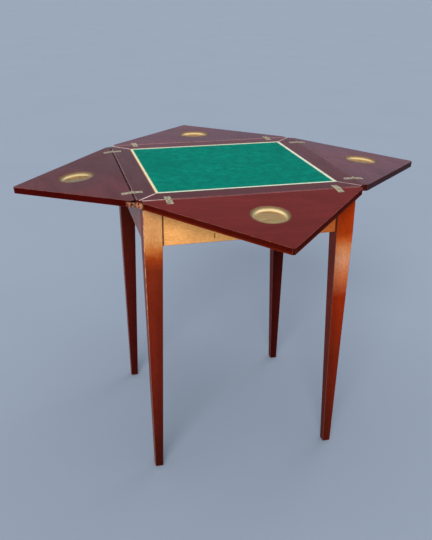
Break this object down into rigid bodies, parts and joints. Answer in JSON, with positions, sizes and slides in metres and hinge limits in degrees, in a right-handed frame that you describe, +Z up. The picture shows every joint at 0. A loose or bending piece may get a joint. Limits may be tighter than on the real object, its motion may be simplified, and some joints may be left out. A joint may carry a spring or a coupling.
{
  "type": "envelope games table",
  "caption": "Square games table on tapered legs: triangular flaps fold out from a cloth-lined top that turns so that the frame's corners carry them.",
  "frame": {"origin": "on the floor, under the middle of the square top", "axes": "+Z up; -Y towards the front, the side whose flap hangs lowest; +X to the right"},
  "size_m": [1.1124, 1.1119, 0.7654],
  "materials": {
    "leg_mahogany": "French polished, red-brown mahogany",
    "apron_mahogany": "French polished, golden mahogany",
    "top_mahogany": "high gloss French polished mahogany",
    "inner_wood": "unpolished beech and pine",
    "baize": "short felted wool",
    "gilt": "worn gilt",
    "well_brass": "polished, lightly tarnished",
    "hinge_brass": "dull, worn",
    "pivot_iron": "blackened iron"
  },
  "bodies": {
    "frame": {"leg_front_left": "leg_mahogany", "corner_brace_front_left": "inner_wood", "leg_front_right": "leg_mahogany", "corner_brace_front_right": "inner_wood", "leg_back_right": "leg_mahogany", "corner_brace_back_right": "inner_wood", "leg_back_left": "leg_mahogany", "corner_brace_back_left": "inner_wood", "apron_front": "apron_mahogany", "bearing_slip_front": "inner_wood", "apron_right": "apron_mahogany", "bearing_slip_right": "inner_wood", "apron_back": "apron_mahogany", "bearing_slip_back": "inner_wood", "apron_left": "apron_mahogany", "bearing_slip_left": "inner_wood", "pivot_rail": "inner_wood", "pivot_washer": "pivot_iron"},
    "top": {"top_panel": "inner_wood", "border_front": "top_mahogany", "border_right": "top_mahogany", "border_back": "top_mahogany", "border_left": "top_mahogany", "playing_cloth": "baize", "gilt_band": "gilt", "pivot_plate": "pivot_iron", "pivot_stud": "pivot_iron", "pivot_nut": "pivot_iron", "stop_peg": "inner_wood", "hinge_leaves_top_front": "hinge_brass", "hinge_leaves_top_right": "hinge_brass", "hinge_leaves_top_back": "hinge_brass", "hinge_leaves_top_left": "hinge_brass"},
    "flap_front": {"flap_front": "top_mahogany", "counter_well_front": "well_brass", "hinge_leaves_flap_front": "hinge_brass"},
    "flap_right": {"flap_right": "top_mahogany", "counter_well_right": "well_brass", "hinge_leaves_flap_right": "hinge_brass"},
    "flap_back": {"flap_back": "top_mahogany", "counter_well_back": "well_brass", "hinge_leaves_flap_back": "hinge_brass"},
    "flap_left": {"flap_left": "top_mahogany", "counter_well_left": "well_brass", "hinge_leaves_flap_left": "hinge_brass"}
  },
  "joints": [
    {"name": "top_swivel", "type": "hinge", "parent": "frame", "child": "top", "pos_m": [0, 0, 0.743], "axis": [0, 0, 1], "range_deg": [0, 45]},
    {"name": "flap_front_fold", "type": "hinge", "parent": "top", "child": "flap_front", "pos_m": [0, -0.28107, 0.7636], "axis": [-1, 0, 0], "range_deg": [0, 187]},
    {"name": "flap_right_fold", "type": "hinge", "parent": "top", "child": "flap_right", "pos_m": [0.28075, 0, 0.7636], "axis": [0, -1, 0], "range_deg": [0, 184.8]},
    {"name": "flap_back_fold", "type": "hinge", "parent": "top", "child": "flap_back", "pos_m": [0, 0.28021, 0.7636], "axis": [1, 0, 0], "range_deg": [0, 181.1]},
    {"name": "flap_left_fold", "type": "hinge", "parent": "top", "child": "flap_left", "pos_m": [-0.28089, 0, 0.7636], "axis": [0, 1, 0], "range_deg": [0, 185.8]}
  ]
}
